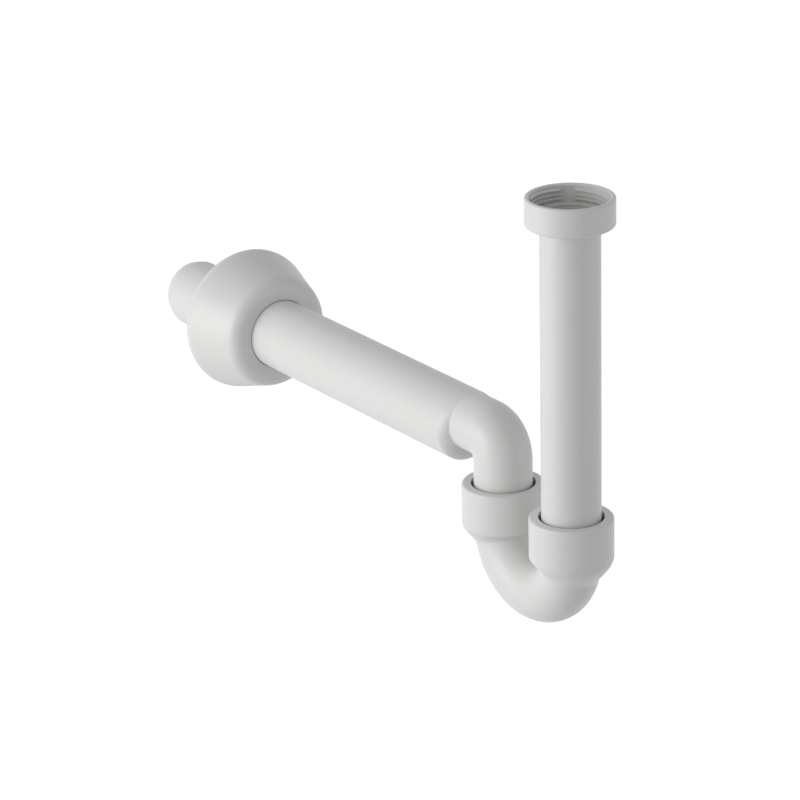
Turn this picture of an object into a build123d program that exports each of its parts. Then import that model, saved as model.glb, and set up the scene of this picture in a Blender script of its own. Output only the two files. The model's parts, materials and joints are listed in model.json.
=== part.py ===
from build123d import *
from math import cos, degrees, pi, sin
import os

# Bidet trap: a P-trap whose U-bend hangs between an inlet tube and an outlet bend that runs back to the wall.
# All lengths are in millimetres. The origin lies on the waste pipe's axis in the plane of the wall,
# +Y points into the wall and +Z points up.

# Layout
wall_to_outlet_leg = 258.0
leg_spacing = 60.4
inlet_height = 154.3
clamp_nut_drop = 22.8

# Inlet tube and the outlet bend's vertical leg
tube_od = 32.0
tube_wall = 1.8
tube_end_gap = 4.0
tube_lead_length = 2.0
tube_lead_depth = 0.8

# Tight elbow and the wider waste pipe, which sits lower so that the two run level along the top
elbow_radius = 13.5
waste_od = 40.0
waste_wall = 2.4
waste_start = 27.0
reducer_length = 6.0
reducer_root = 0.5
reducer_steps = 6
reducer_floor = 4.0
waste_inner_round = 4.0
spigot_length = 54.0
spigot_start = 2.0
spigot_step = 0.25
spigot_lead_length = 5.5
spigot_lead_depth = 1.6

# U-bend with a threaded socket at each end
bend_margin = 0.3
bend_od = tube_od + 2 * bend_margin
bend_wall = 2.0
socket_depth = 22.0
socket_clearance = 0.6
socket_rim = 1.75
neck_length = 9.8
neck_steps = 6

# Clamp nuts, slip rings and wedge seals of the two sliding joints
clamp_nut_wall = 1.45
clamp_nut_height = 22.5
clamp_lip = 2.5
clamp_hole_clearance = 1.7
clamp_thread_clearance = 0.3
clamp_top_round = 1.5
slip_ring_thickness = 1.3
slip_ring_clearance = 0.5
seal_fit = 0.1
seal_flange_thickness = 1.6
seal_flange_margin = 0.8
seal_cone_height = 6.0
seal_cone_width = 2.6
clamp_thread_od = tube_od + 2 * (socket_clearance + seal_cone_width + socket_rim)
clamp_nut_od = clamp_thread_od + 2 * (clamp_thread_clearance + clamp_nut_wall)

# Union nut at the inlet, with the tube's flange and a flat gasket inside it
flange_width = 3.6
flange_od = tube_od + 2 * flange_width
flange_thickness = 1.8
flange_clearance = 0.7
flange_thread_gap = 1.35
gasket_thickness = 1.6
gasket_bore_margin = 0.4
union_thread_od = flange_od + 2 * flange_thread_gap
union_wall = 2.75
union_od = union_thread_od + 2 * union_wall
union_height = 15.5
union_floor = 2.8
union_hole_clearance = 1.2
union_mouth_chamfer = 0.8
union_top_round = 1.2
union_foot_round = 1.5

# Wall rosette
rosette_od = 83.1
rosette_front_od = 62.9
rosette_depth = 41.0
rosette_band = 8.3
rosette_wall = 1.8
rosette_hole_clearance = 0.4
rosette_front_round = 8.3
rosette_band_round = 7.8
rosette_back_round = 6.6
rosette_land = 1.8

# Tolerance for finding an edge by its size and place
edge_tolerance = 1e-4

# Radii
tube_r = tube_od / 2
tube_bore_r = tube_r - tube_wall
waste_r = waste_od / 2
waste_bore_r = waste_r - waste_wall
bend_r = bend_od / 2
bend_bore_r = bend_r - bend_wall
socket_bore_r = tube_r + socket_clearance
clamp_thread_r = clamp_thread_od / 2
clamp_nut_r = clamp_nut_od / 2
clamp_bore_r = clamp_thread_r + clamp_thread_clearance
seal_bore_r = tube_r + seal_fit
seat_mouth_r = socket_bore_r + seal_cone_width
union_thread_r = union_thread_od / 2
flange_r = flange_od / 2

# Places along Y
outlet_y = -wall_to_outlet_leg
inlet_y = outlet_y - leg_spacing
bend_middle_y = (inlet_y + outlet_y) / 2
waste_start_y = outlet_y + waste_start

# Heights of the sliding joints, from the clamp nut's top face downwards
clamp_top_z = -clamp_nut_drop
clamp_lip_z = clamp_top_z - clamp_lip
seal_top_z = clamp_lip_z - slip_ring_thickness
socket_top_z = seal_top_z - seal_flange_thickness
arc_z = clamp_top_z - clamp_nut_height
socket_stop_z = socket_top_z - socket_depth
tube_end_z = socket_stop_z + tube_end_gap

# Radius of the bend's centre line, and the angle that each neck takes up on it
arc_r = leg_spacing / 2
neck_turn = neck_length / arc_r

# Heights of the outlet bend and of the union nut
elbow_z = waste_r - tube_r
elbow_start_z = elbow_z - elbow_radius
union_foot_z = inlet_height - union_height
flange_foot_z = union_foot_z + union_floor
gasket_foot_z = flange_foot_z + flange_thickness
gasket_top_z = gasket_foot_z + gasket_thickness


def turned(outline, axis_y):
    """Body of revolution about a vertical axis from (radius, height) corners."""
    corners = [(radius, 0, height) for radius, height in outline]
    body = revolve(make_face(Polyline(*corners, close=True)), Axis.Z)
    return Pos(0, axis_y, 0) * body


def ring(inner_r, outer_r, foot_z, top_z, axis_y):
    """Plain ring about a vertical axis."""
    return turned([(inner_r, foot_z), (outer_r, foot_z), (outer_r, top_z), (inner_r, top_z)], axis_y)


def edges_at(body, radius, height):
    """Circular edges of a turned body with this radius, at this height."""
    circles = body.edges().filter_by(GeomType.CIRCLE)
    level = [edge for edge in circles if abs(edge.center().Z - height) < edge_tolerance]
    return [edge for edge in level if abs(edge.radius - radius) < edge_tolerance]


def tube_with_lead(outer_r, bore_r, end_z, top_z, axis_y):
    """Vertical tube whose lower end is chamfered so that it slips into a seal."""
    return turned(
        [
            (bore_r, end_z),
            (outer_r - tube_lead_depth, end_z),
            (outer_r, end_z + tube_lead_length),
            (outer_r, top_z),
            (bore_r, top_z),
        ],
        axis_y,
    )


def disc_y(radius, place_y, axis_z):
    """Round face across the waste pipe."""
    return Plane((0, place_y, axis_z), x_dir=(1, 0, 0), z_dir=(0, 1, 0)) * Circle(radius)


def rod_y(radius, start_y, end_y, axis_z):
    """Round bar along Y."""
    return extrude(disc_y(radius, start_y, axis_z), end_y - start_y)


def elbow(radius):
    """Quarter turn of the outlet leg, so tight that its inner side is a sharp corner on the pivot."""
    keep_depth = 2 * radius + elbow_radius
    keep = Pos(0, elbow_radius - keep_depth / 2) * Rectangle(4 * radius, keep_depth)
    disc = Pos(0, outlet_y, elbow_start_z) * (Circle(radius) & keep)
    pivot = Axis((0, outlet_y + elbow_radius, elbow_start_z), (-1, 0, 0))
    return revolve(disc, pivot, revolution_arc=90)


def eccentric_reducer():
    """Rounded shoulder from the elbow's run to the wider pipe: circles that all touch the same top line.

    Its side view is a quarter ellipse mixed with a slope, so its root is a corner below and fades out above.
    """
    sections = []
    for step in range(reducer_steps + 1):
        turn = pi / 2 * step / reducer_steps
        radius = tube_r + (waste_r - tube_r) * sin(turn)
        advance = (1 - reducer_root) * (1 - cos(turn)) + reducer_root * sin(turn)
        place_y = waste_start_y + reducer_length * advance
        sections.append(disc_y(radius, place_y, waste_r - radius))
    return loft(sections)


def outlet_bend():
    """Leg, tight elbow and eccentric waste pipe, moulded in one piece."""
    elbow_end_y = outlet_y + elbow_radius
    waste_floor_y = waste_start_y + reducer_floor
    leg = tube_with_lead(tube_r, 0, tube_end_z, elbow_start_z, outlet_y)
    run = rod_y(tube_r, elbow_end_y, waste_start_y, elbow_z)
    pipe = rod_y(waste_r, waste_start_y + reducer_length, -spigot_start, 0)
    spigot = rod_y(waste_r - spigot_step, -spigot_start, spigot_length, 0)
    spigot = chamfer(spigot.edges().sort_by(Axis.Y)[-1], spigot_lead_length, spigot_lead_depth,
                     reference=spigot.faces().filter_by(GeomType.CYLINDER)[0])
    pipe_bore = rod_y(waste_bore_r, waste_floor_y, spigot_length, 0)
    pipe_bore = fillet(pipe_bore.edges().sort_by(Axis.Y)[0], waste_inner_round)
    body = leg + elbow(tube_r) + run + eccentric_reducer() + pipe + spigot
    body -= ring(0, tube_bore_r, tube_end_z, elbow_start_z, outlet_y)
    body -= elbow(tube_bore_r)
    body -= rod_y(tube_bore_r, elbow_end_y, waste_floor_y + waste_inner_round, elbow_z)
    return body - pipe_bore


def bend_section(radius, turn, side):
    """Round face across the U-bend, an angle past its inlet end (side -1) or its outlet end (side 1)."""
    centre = (0, bend_middle_y + side * arc_r * cos(turn), arc_z - arc_r * sin(turn))
    along = (0, -side * sin(turn), -cos(turn))
    return Plane(centre, x_dir=(1, 0, 0), z_dir=along) * Circle(radius)


def neck(side):
    """Moulded neck that follows the bend and eases from the clamp nut's radius to the bend's."""
    sections = []
    for step in range(neck_steps + 1):
        share = step / neck_steps
        eased = share ** 2 * (3 - 2 * share)
        radius = clamp_nut_r + (bend_r - clamp_nut_r) * eased
        sections.append(bend_section(radius, neck_turn * share, side))
    return loft(sections)


def bend_arc(radius, start_turn):
    """U-bend's half torus without this angle at each end."""
    pivot = Axis((0, bend_middle_y, arc_z), (1, 0, 0))
    return revolve(bend_section(radius, start_turn, -1), pivot, revolution_arc=180 - 2 * degrees(start_turn))


def socket_bore_outline():
    """Inside of a socket: tube bore down to its stop, with a coned seat for the wedge seal."""
    return [
        (0, socket_stop_z),
        (socket_bore_r, socket_stop_z),
        (socket_bore_r, socket_top_z - seal_cone_height),
        (seat_mouth_r, socket_top_z),
        (0, socket_top_z),
    ]


def u_bend():
    """Water seal of the trap: half torus with a neck and a threaded socket on each end."""
    body = bend_arc(bend_r, neck_turn)
    for axis_y, side in ((inlet_y, -1), (outlet_y, 1)):
        body += neck(side)
        body += ring(0, clamp_thread_r, arc_z, socket_top_z, axis_y)
    body -= bend_arc(bend_bore_r, 0)
    for axis_y in (inlet_y, outlet_y):
        body -= turned(socket_bore_outline(), axis_y)
    return body


def clamp_nut(axis_y):
    """Smooth round nut: its lip presses the slip ring and the seal, and its foot sits flush on the U-bend."""
    lip_r = tube_r + clamp_hole_clearance
    body = turned(
        [
            (clamp_bore_r, arc_z),
            (clamp_nut_r, arc_z),
            (clamp_nut_r, clamp_top_z),
            (lip_r, clamp_top_z),
            (lip_r, clamp_lip_z),
            (clamp_bore_r, clamp_lip_z),
        ],
        axis_y,
    )
    return fillet(edges_at(body, clamp_nut_r, clamp_top_z), clamp_top_round)


def slip_ring(axis_y):
    """Stiff washer that lets the nut turn without twisting the seal."""
    outer_r = clamp_bore_r - slip_ring_clearance
    return ring(tube_r + slip_ring_clearance, outer_r, seal_top_z, clamp_lip_z, axis_y)


def wedge_seal(axis_y):
    """Rubber ring with a flange and a cone that fits the socket's seat."""
    flange_edge_r = clamp_thread_r - seal_flange_margin
    cone_foot_z = socket_top_z - seal_cone_height
    return turned(
        [
            (seal_bore_r, cone_foot_z),
            (socket_bore_r - seal_fit, cone_foot_z),
            (seat_mouth_r - seal_fit, socket_top_z),
            (flange_edge_r, socket_top_z),
            (flange_edge_r, seal_top_z),
            (seal_bore_r, seal_top_z),
        ],
        axis_y,
    )


def inlet_tube():
    """Straight tube with a flange at the top that the union nut pulls up."""
    body = tube_with_lead(tube_r, tube_bore_r, tube_end_z, gasket_foot_z, inlet_y)
    return body + ring(tube_bore_r, flange_r, flange_foot_z, gasket_foot_z, inlet_y)


def inlet_gasket():
    """Flat gasket on the flange."""
    return ring(tube_bore_r + gasket_bore_margin, flange_r, gasket_foot_z, gasket_top_z, inlet_y)


def union_nut():
    """Smooth round union nut, open at the top for the bidet's waste outlet."""
    hole_r = tube_r + union_hole_clearance
    outer_r = union_od / 2
    body = turned(
        [
            (hole_r, union_foot_z),
            (outer_r, union_foot_z),
            (outer_r, inlet_height),
            (union_thread_r, inlet_height),
            (union_thread_r, gasket_top_z),
            (flange_r + flange_clearance, gasket_top_z),
            (flange_r + flange_clearance, flange_foot_z),
            (hole_r, flange_foot_z),
        ],
        inlet_y,
    )
    body = chamfer(edges_at(body, union_thread_r, inlet_height), union_mouth_chamfer)
    body = fillet(edges_at(body, outer_r, inlet_height), union_top_round)
    return fillet(edges_at(body, outer_r, union_foot_z), union_foot_round)


def wall_rosette():
    """Deep conical cup that covers the hole in the wall, open at the back, with a hole for the pipe."""
    outline = Polyline(
        (0, -rosette_depth),
        (rosette_front_od / 2, -rosette_depth),
        (rosette_od / 2, -rosette_band),
        (rosette_od / 2, 0),
        (0, 0),
        close=True,
    )
    body = revolve(make_face(outline), Axis.Y)
    for place, round_r in ((1, rosette_band_round), (0, rosette_front_round), (-1, rosette_back_round)):
        rims = body.edges().filter_by(GeomType.CIRCLE).sort_by(Axis.Y)
        body = fillet(rims[place], round_r)
    cavity = offset(body, -rosette_wall)
    mouth_r = rosette_od / 2 - rosette_back_round - rosette_land
    mouth = rod_y(mouth_r, -rosette_wall - rosette_back_round, 0, 0)
    hole = rod_y(waste_r + rosette_hole_clearance, -rosette_depth, 0, 0)
    return body - cavity - mouth - hole


pieces = {
    "outlet_bend": outlet_bend(),
    "wall_rosette": wall_rosette(),
    "u_bend": u_bend(),
    "inlet_tube": inlet_tube(),
    "inlet_gasket": inlet_gasket(),
    "inlet_union_nut": union_nut(),
}
for side, axis_y in (("inlet", inlet_y), ("outlet", outlet_y)):
    pieces[f"{side}_clamp_nut"] = clamp_nut(axis_y)
    pieces[f"{side}_slip_ring"] = slip_ring(axis_y)
    pieces[f"{side}_seal_ring"] = wedge_seal(axis_y)

os.makedirs("parts", exist_ok=True)
for node, body in pieces.items():
    export_step(body, f"parts/{node}.step")
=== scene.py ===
import json
import math

import bpy
from mathutils import Matrix, Vector


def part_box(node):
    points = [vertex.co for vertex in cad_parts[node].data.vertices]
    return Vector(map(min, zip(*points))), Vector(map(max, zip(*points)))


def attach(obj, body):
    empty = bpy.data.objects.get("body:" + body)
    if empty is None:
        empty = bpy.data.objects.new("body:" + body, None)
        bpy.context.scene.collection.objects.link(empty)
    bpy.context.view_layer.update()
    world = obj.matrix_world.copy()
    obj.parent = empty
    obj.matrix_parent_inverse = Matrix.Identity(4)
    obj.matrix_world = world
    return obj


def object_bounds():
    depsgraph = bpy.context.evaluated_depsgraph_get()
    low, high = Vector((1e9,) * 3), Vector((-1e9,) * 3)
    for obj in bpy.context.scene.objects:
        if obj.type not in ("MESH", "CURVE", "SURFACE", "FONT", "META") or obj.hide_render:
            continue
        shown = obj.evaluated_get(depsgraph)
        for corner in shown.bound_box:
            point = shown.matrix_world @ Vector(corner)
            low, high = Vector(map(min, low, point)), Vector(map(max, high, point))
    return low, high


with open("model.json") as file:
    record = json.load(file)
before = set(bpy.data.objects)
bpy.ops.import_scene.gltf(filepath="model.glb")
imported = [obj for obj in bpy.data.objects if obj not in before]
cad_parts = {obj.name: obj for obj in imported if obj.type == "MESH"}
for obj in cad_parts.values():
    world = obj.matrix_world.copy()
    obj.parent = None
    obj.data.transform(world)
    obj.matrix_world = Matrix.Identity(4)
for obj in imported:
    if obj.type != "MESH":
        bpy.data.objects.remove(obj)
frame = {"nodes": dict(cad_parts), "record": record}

CAD_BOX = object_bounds()
MM = 0.001
WHITE = (1, 1, 1, 1)

# Camera, matched to the outline and the rims of the trap in the photograph
CAMERA_TARGET_MM = (-71.34, -265.05, 43.49)
CAMERA_AZIMUTH = -34.60
CAMERA_ELEVATION = 21.03
CAMERA_ROLL = -1.25
CAMERA_DISTANCE_MM = 1989.0
CAMERA_LENS_MM = 171.5
CAMERA_SENSOR_MM = 36.0
CAMERA_CLIP_END_M = 100.0

# Finishes: the two tones of each material and the size of its patterns
PLASTIC_TONES = ("#DADAD9", "#DFDFDE")
PLASTIC_CLOUD_MM = 45.0
PLASTIC_GRAIN_MM = 0.5
PLASTIC_ROUGHNESS = (0.36, 0.42)
SEAL_TONES = ("#181818", "#242424")
SEAL_SPECKLE_MM = 0.8
SLIP_RING_TONES = ("#1A1A1A", "#222222")
SLIP_RING_MOTTLE_MM = 3.0
GASKET_TONES = ("#CFCFCD", "#D8D8D6")
GASKET_GRAIN_MM = 0.7

# Threads: ridges on the plain cylinders of the solids, sunk a little into the wall
THREAD_PITCH_MM = 2.309
THREAD_SINK_MM = 0.15
RIDGE_STEPS_PER_TURN = 120
RIDGE_ROUND_STEPS = 2
SHARP_EDGE_DEG = 35.0

# Inside thread of the union nut: G 1 1/4, cut into four arcs a turn
# by the gaps that let the mould core collapse
UNION_THREAD = {
    "root_radius_mm": 20.95,
    "crest_radius_mm": 19.65,
    "base_width_mm": 2.0,
    "crest_width_mm": 0.6,
    "round_mm": 0.12,
    "arcs_per_turn": 4,
    "arcs": 12,
    "gap_deg": 21.0,
    "gap_centre_deg": 55.4,
    "below_top_mm": 8.35,
}

# Outside threads of the sockets: low ridges, split by the mould's parting line,
# seen when a clamp nut is raised
SOCKET_THREAD = {
    "root_radius_mm": 20.95,
    "crest_radius_mm": 21.15,
    "base_width_mm": 1.2,
    "crest_width_mm": 0.7,
    "round_mm": 0.05,
    "arcs_per_turn": 2,
    "arcs": 12,
    "gap_deg": 14.0,
    "gap_centre_deg": 90.0,
    "below_top_mm": 15.0,
}

# Stage and light
FLOOR_COLOUR = "#E4E4E4"
FLOOR_DROP_MM = 260.0
FLOOR_SIZE_M = 14.0
FLOOR_LIFT = 0.70
ROOM_LIGHT = 0.385
SOFTBOX_DISTANCE_M = 1.6
SOFTBOX_SIZE_M = 1.1
# Direction from the trap in camera axes (right, up, towards the camera) and power in watts
SOFTBOXES = {
    "left_softbox": ((-1.0, 0.0, 0.25), 10.0),
    "left_front_softbox": ((-1.0, 0.0, 0.7), 6.9),
    "right_softbox": ((1.0, -0.1, 0.2), 3.3),
}


def linear(hex_colour):
    """Linear RGBA of an sRGB hex colour."""
    channels = [int(hex_colour[i:i + 2], 16) / 255 for i in (1, 3, 5)]
    return [c / 12.92 if c <= 0.04045 else ((c + 0.055) / 1.055) ** 2.4 for c in channels] + [1.0]


def per_mm(size_mm):
    """Texture scale at which one cell of a pattern is this many millimetres across."""
    return 1 / (size_mm * MM)


def add(tree, kind, inputs=None, **settings):
    """One node with its settings; an input is a value or the socket that feeds it."""
    made = tree.nodes.new(kind)
    for name, value in settings.items():
        setattr(made, name, value)
    for name, value in (inputs or {}).items():
        if isinstance(value, bpy.types.NodeSocket):
            tree.links.new(value, made.inputs[name])
        else:
            made.inputs[name].default_value = value
    return made


def new_material(name):
    """Material with an empty node tree."""
    material = bpy.data.materials.new(name)
    material.use_nodes = True
    material.node_tree.nodes.clear()
    return material, material.node_tree


def mottle(tree, size_mm, tones):
    """Soft pattern of one size on the piece, and the colour that it gives between two tones."""
    place = add(tree, "ShaderNodeTexCoord").outputs["Object"]
    pattern = add(tree, "ShaderNodeTexNoise", {
        "Vector": place, "Scale": per_mm(size_mm), "Detail": 2.0,
    })
    colour = add(tree, "ShaderNodeMix", {
        "Factor": pattern.outputs["Fac"], "A": linear(tones[0]), "B": linear(tones[1]),
    }, data_type="RGBA")
    return place, pattern.outputs["Fac"], colour.outputs["Result"]


def white_polypropylene():
    """Injection-moulded white polypropylene: an even, neutral white with a soft shine.

    The spark-eroded mould leaves a fine grain, and the melt's flow leaves very faint clouds of tone.
    """
    material, tree = new_material("moulded_white_polypropylene")
    place, clouds, colour = mottle(tree, PLASTIC_CLOUD_MM, PLASTIC_TONES)
    # The real grain is about 0.1 mm; it is drawn at 0.5 mm so that it still softens the highlights
    grain = add(tree, "ShaderNodeTexNoise", {
        "Vector": place, "Scale": per_mm(PLASTIC_GRAIN_MM), "Detail": 3.0,
    })
    bump = add(tree, "ShaderNodeBump", {
        "Strength": 0.05, "Distance": 0.05 * MM, "Height": grain.outputs["Fac"],
    })
    gloss = add(tree, "ShaderNodeMapRange", {
        "Value": clouds, "To Min": PLASTIC_ROUGHNESS[0], "To Max": PLASTIC_ROUGHNESS[1],
    })
    shader = add(tree, "ShaderNodeBsdfPrincipled", {
        "Base Color": colour,
        "Roughness": gloss.outputs["Result"],
        "Normal": bump.outputs["Normal"],
        "IOR": 1.49,
    })
    add(tree, "ShaderNodeOutputMaterial", {"Surface": shader.outputs["BSDF"]})
    return material


def black_rubber():
    """Moulded EPDM rubber of the wedge seals: deep grey-black, dull, with a fine speckle."""
    material, tree = new_material("black_epdm_rubber")
    _, _, colour = mottle(tree, SEAL_SPECKLE_MM, SEAL_TONES)
    shader = add(tree, "ShaderNodeBsdfPrincipled", {
        "Base Color": colour, "Roughness": 0.75, "IOR": 1.52,
    })
    add(tree, "ShaderNodeOutputMaterial", {"Surface": shader.outputs["BSDF"]})
    return material


def black_polyethylene():
    """Punched black polyethylene of the slip rings: near-black and waxy, with faint mottling."""
    material, tree = new_material("punched_black_polyethylene")
    _, _, colour = mottle(tree, SLIP_RING_MOTTLE_MM, SLIP_RING_TONES)
    shader = add(tree, "ShaderNodeBsdfPrincipled", {
        "Base Color": colour, "Roughness": 0.5, "IOR": 1.51,
    })
    add(tree, "ShaderNodeOutputMaterial", {"Surface": shader.outputs["BSDF"]})
    return material


def pale_gasket_rubber():
    """Die-cut pale rubber of the flat gasket: light grey, dull, with a fine calendered grain."""
    material, tree = new_material("pale_gasket_rubber")
    _, grain, colour = mottle(tree, GASKET_GRAIN_MM, GASKET_TONES)
    bump = add(tree, "ShaderNodeBump", {
        "Strength": 0.1, "Distance": 0.1 * MM, "Height": grain,
    })
    shader = add(tree, "ShaderNodeBsdfPrincipled", {
        "Base Color": colour,
        "Roughness": 0.62,
        "Normal": bump.outputs["Normal"],
        "IOR": 1.52,
    })
    add(tree, "ShaderNodeOutputMaterial", {"Surface": shader.outputs["BSDF"]})
    return material


def thread_tree():
    """Geometry Nodes: one arc of thread ridge, repeated round and up a cylinder."""
    tree = bpy.data.node_groups.new("interrupted_thread", "GeometryNodeTree")
    tree.is_modifier = True
    sockets = {
        "Float": (
            "Path Radius", "Ridge Depth", "Ridge Base", "Ridge Crest", "Ridge Round",
            "Arc Turns", "Arc Rise",
        ),
        "Int": ("Arc Count",),
        "Vector": ("Crest Turn", "Step Rise", "Step Turn", "Start Place", "Start Turn"),
        "Material": ("Finish",),
    }
    for kind, names in sockets.items():
        for name in names:
            tree.interface.new_socket(name, in_out="INPUT", socket_type=f"NodeSocket{kind}")
    tree.interface.new_socket("Geometry", in_out="OUTPUT", socket_type="NodeSocketGeometry")
    given = add(tree, "NodeGroupInput").outputs
    path = add(tree, "GeometryNodeCurveSpiral", {
        "Resolution": RIDGE_STEPS_PER_TURN,
        "Rotations": given["Arc Turns"],
        "Start Radius": given["Path Radius"],
        "End Radius": given["Path Radius"],
        "Height": given["Arc Rise"],
        "Reverse": True,
    })
    upright = add(tree, "GeometryNodeSetCurveNormal", {
        "Curve": path.outputs["Curve"],
    }, mode="Z_UP")
    section = add(tree, "GeometryNodeCurvePrimitiveQuadrilateral", {
        "Bottom Width": given["Ridge Base"],
        "Top Width": given["Ridge Crest"],
        "Height": given["Ridge Depth"],
        "Offset": 0.0,
    }, mode="TRAPEZOID")
    # The crest points at the axis or away from it
    turned = add(tree, "GeometryNodeTransform", {
        "Geometry": section.outputs["Curve"], "Rotation": given["Crest Turn"],
    })
    rounded = add(tree, "GeometryNodeFilletCurve", {
        "Curve": turned.outputs["Geometry"],
        "Radius": given["Ridge Round"],
        "Count": RIDGE_ROUND_STEPS,
    }, mode="POLY")
    ridge = add(tree, "GeometryNodeCurveToMesh", {
        "Curve": upright.outputs["Curve"],
        "Profile Curve": rounded.outputs["Curve"],
        "Fill Caps": True,
    })
    places = add(tree, "GeometryNodeMeshLine", {
        "Count": given["Arc Count"], "Offset": given["Step Rise"],
    }, mode="OFFSET")
    index = add(tree, "GeometryNodeInputIndex")
    turn = add(tree, "ShaderNodeVectorMath", {
        0: given["Step Turn"], "Scale": index.outputs["Index"],
    }, operation="SCALE")
    arcs = add(tree, "GeometryNodeInstanceOnPoints", {
        "Points": places.outputs["Mesh"],
        "Instance": ridge.outputs["Mesh"],
        "Rotation": turn.outputs["Vector"],
    })
    in_place = add(tree, "GeometryNodeTransform", {
        "Geometry": arcs.outputs["Instances"],
        "Translation": given["Start Place"],
        "Rotation": given["Start Turn"],
    })
    whole = add(tree, "GeometryNodeRealizeInstances", {"Geometry": in_place.outputs["Geometry"]})
    dressed = add(tree, "GeometryNodeSetMaterial", {
        "Geometry": whole.outputs["Geometry"], "Material": given["Finish"],
    })
    add(tree, "NodeGroupOutput", {"Geometry": dressed.outputs["Geometry"]})
    return tree


def add_thread(name, thread, tree, nut, top, body, finish):
    """Ridges of one thread about the axis of its nut, as a plain mesh that rides on a body."""
    low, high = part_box(nut)
    axis_x, axis_y = (low[0] + high[0]) / 2, (low[1] + high[1]) / 2
    outwards = 1 if thread["crest_radius_mm"] > thread["root_radius_mm"] else -1
    foot = thread["root_radius_mm"] - outwards * THREAD_SINK_MM
    step_deg = 360 / thread["arcs_per_turn"]
    arc_deg = step_deg - thread["gap_deg"]
    start_deg = thread["gap_centre_deg"] + thread["gap_deg"] / 2 - step_deg
    values = {
        "Path Radius": (thread["crest_radius_mm"] + foot) / 2 * MM,
        "Ridge Depth": abs(thread["crest_radius_mm"] - foot) * MM,
        "Ridge Base": thread["base_width_mm"] * MM,
        "Ridge Crest": thread["crest_width_mm"] * MM,
        "Ridge Round": thread["round_mm"] * MM,
        "Crest Turn": (0, 0, -outwards * math.pi / 2),
        "Arc Turns": arc_deg / 360,
        "Arc Rise": arc_deg / 360 * THREAD_PITCH_MM * MM,
        "Arc Count": thread["arcs"],
        "Step Rise": (0, 0, step_deg / 360 * THREAD_PITCH_MM * MM),
        "Step Turn": (0, 0, math.radians(step_deg)),
        "Start Place": (axis_x, axis_y, top - thread["below_top_mm"] * MM),
        "Start Turn": (0, 0, math.radians(start_deg)),
        "Finish": finish,
    }
    maker = bpy.data.objects.new("thread_maker", bpy.data.meshes.new("thread_maker"))
    bpy.context.scene.collection.objects.link(maker)
    modifier = maker.modifiers.new("thread", "NODES")
    modifier.node_group = tree
    for socket in tree.interface.items_tree:
        if socket.in_out == "INPUT":
            modifier[socket.identifier] = values[socket.name]
    made = maker.evaluated_get(bpy.context.evaluated_depsgraph_get())
    mesh = bpy.data.meshes.new_from_object(made)
    bpy.data.objects.remove(maker)
    mesh.name = name
    # The first slot is the empty one of the bare ridge
    mesh.materials.pop(index=0)
    mesh.shade_smooth()
    mesh.set_sharp_from_angle(angle=math.radians(SHARP_EDGE_DEG))
    ridges = bpy.data.objects.new(name, mesh)
    bpy.context.scene.collection.objects.link(ridges)
    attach(ridges, body)


def cut_threads(finish):
    """Threads of the union nut and of the U-bend's two sockets."""
    tree = thread_tree()
    nut_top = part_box("inlet_union_nut")[1][2]
    add_thread("union_nut_thread", UNION_THREAD, tree, "inlet_union_nut", nut_top, "union", finish)
    socket_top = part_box("u_bend")[1][2]
    for side in ("inlet", "outlet"):
        name, nut = f"{side}_socket_thread", f"{side}_clamp_nut"
        add_thread(name, SOCKET_THREAD, tree, nut, socket_top, "bend", finish)


def dress_nodes():
    """Each solid gets the finish of its real material."""
    finish = {
        "white_polypropylene": white_polypropylene(),
        "black_rubber": black_rubber(),
        "black_polyethylene": black_polyethylene(),
        "pale_gasket": pale_gasket_rubber(),
    }
    for subpart in frame["record"]["subparts"]:
        node = frame["nodes"][subpart["node"]]
        node.data.materials.clear()
        node.data.materials.append(finish[subpart["material_slot"]])
    return finish


def camera_axes():
    """Right, up and backward directions of the camera."""
    azimuth = math.radians(CAMERA_AZIMUTH)
    elevation = math.radians(CAMERA_ELEVATION)
    roll = math.radians(CAMERA_ROLL)
    flat = math.cos(elevation)
    back = Vector((math.sin(azimuth) * flat, -math.cos(azimuth) * flat, math.sin(elevation)))
    right = Vector((math.cos(azimuth), math.sin(azimuth), 0))
    up = back.cross(right)
    return (
        math.cos(roll) * right + math.sin(roll) * up,
        math.cos(roll) * up - math.sin(roll) * right,
        back,
    )


def set_camera():
    """Long lens at the photograph's viewing angle."""
    right, up, back = camera_axes()
    data = bpy.data.cameras.new("camera")
    data.lens = CAMERA_LENS_MM
    data.sensor_width = CAMERA_SENSOR_MM
    data.clip_end = CAMERA_CLIP_END_M
    camera = bpy.data.objects.new("camera", data)
    place = Vector(CAMERA_TARGET_MM) * MM + back * CAMERA_DISTANCE_MM * MM
    turn = Matrix((right, up, back)).transposed().to_4x4()
    camera.matrix_world = Matrix.Translation(place) @ turn
    bpy.context.scene.collection.objects.link(camera)
    bpy.context.scene.camera = camera


def seen_white(tree):
    """Socket that is 1 for the rays that see the surroundings directly or as a reflection."""
    rays = add(tree, "ShaderNodeLightPath").outputs
    shiny = add(tree, "ShaderNodeMath", {
        0: rays["Is Glossy Ray"], 1: rays["Is Transmission Ray"],
    }, operation="MAXIMUM")
    seen = add(tree, "ShaderNodeMath", {
        0: rays["Is Camera Ray"], 1: shiny.outputs["Value"],
    }, operation="MAXIMUM")
    return seen.outputs["Value"]


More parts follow.
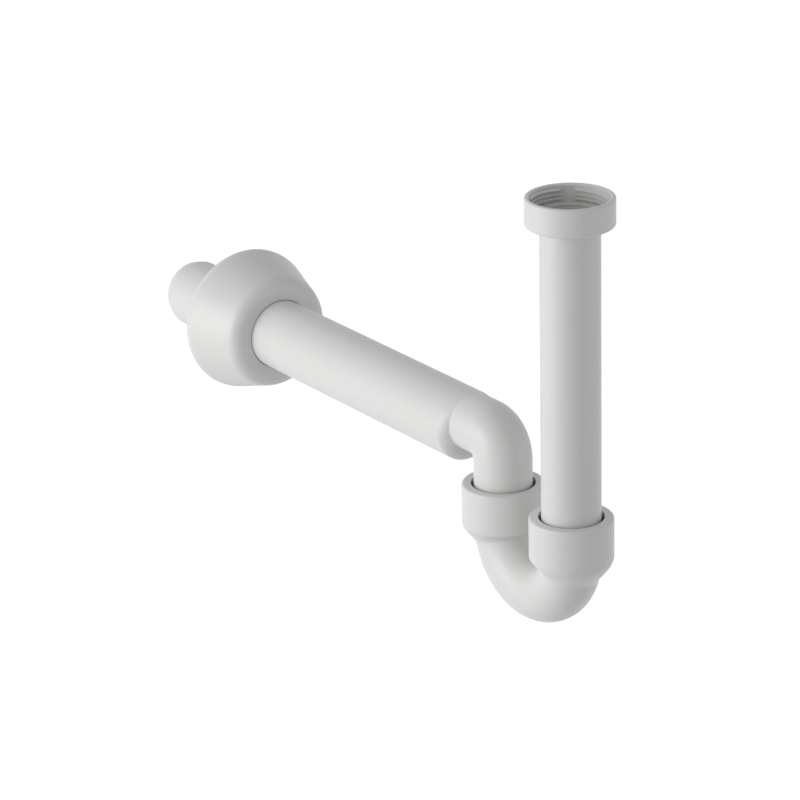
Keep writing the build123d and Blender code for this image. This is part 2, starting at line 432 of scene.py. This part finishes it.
def lay_floor():
    """Pale floor that looks white and keeps the trap's soft shadow."""
    material, tree = new_material("white_paper_floor")
    paper = add(tree, "ShaderNodeBsdfDiffuse", {"Color": linear(FLOOR_COLOUR)})
    lift = add(tree, "ShaderNodeEmission", {"Color": WHITE, "Strength": FLOOR_LIFT})
    lifted = add(tree, "ShaderNodeAddShader", {
        0: paper.outputs["BSDF"], 1: lift.outputs["Emission"],
    })
    mixed = add(tree, "ShaderNodeMixShader", {
        "Fac": seen_white(tree), 1: paper.outputs["BSDF"], 2: lifted.outputs["Shader"],
    })
    add(tree, "ShaderNodeOutputMaterial", {"Surface": mixed.outputs["Shader"]})
    half = FLOOR_SIZE_M / 2
    height = CAD_BOX[0][2] - FLOOR_DROP_MM * MM
    outline = ((-half, -half), (half, -half), (half, half), (-half, half))
    mesh = bpy.data.meshes.new("floor")
    mesh.from_pydata([(x, y, height) for x, y in outline], [], [(0, 1, 2, 3)])
    mesh.materials.append(material)
    floor = bpy.data.objects.new("floor", mesh)
    bpy.context.scene.collection.objects.link(floor)


def add_softbox(name, direction, power):
    """Square lamp that shines on the middle of the trap from a direction given in camera axes."""
    right, up, back = camera_axes()
    aim = (Vector(CAD_BOX[0]) + Vector(CAD_BOX[1])) / 2
    towards = (direction[0] * right + direction[1] * up + direction[2] * back).normalized()
    data = bpy.data.lights.new(name, "AREA")
    data.size = SOFTBOX_SIZE_M
    data.energy = power
    lamp = bpy.data.objects.new(name, data)
    lamp.location = aim + towards * SOFTBOX_DISTANCE_M
    lamp.rotation_euler = towards.to_track_quat("Z", "Y").to_euler()
    bpy.context.scene.collection.objects.link(lamp)


def light_stage():
    """Soft studio light: a grey room, two large softboxes at the left and a weak one at the right."""
    world = bpy.data.worlds.new("studio")
    bpy.context.scene.world = world
    world.use_nodes = True
    tree = world.node_tree
    tree.nodes.clear()
    room = add(tree, "ShaderNodeBackground", {"Color": WHITE, "Strength": ROOM_LIGHT})
    white = add(tree, "ShaderNodeBackground", {"Color": WHITE, "Strength": 1.0})
    mixed = add(tree, "ShaderNodeMixShader", {
        "Fac": seen_white(tree), 1: room.outputs["Background"], 2: white.outputs["Background"],
    })
    add(tree, "ShaderNodeOutputWorld", {"Surface": mixed.outputs["Shader"]})
    for name, (direction, power) in SOFTBOXES.items():
        add_softbox(name, direction, power)


finishes = dress_nodes()
cut_threads(finishes["white_polypropylene"])
set_camera()
lay_floor()
light_stage()
bpy.context.scene.view_settings.view_transform = "Standard"
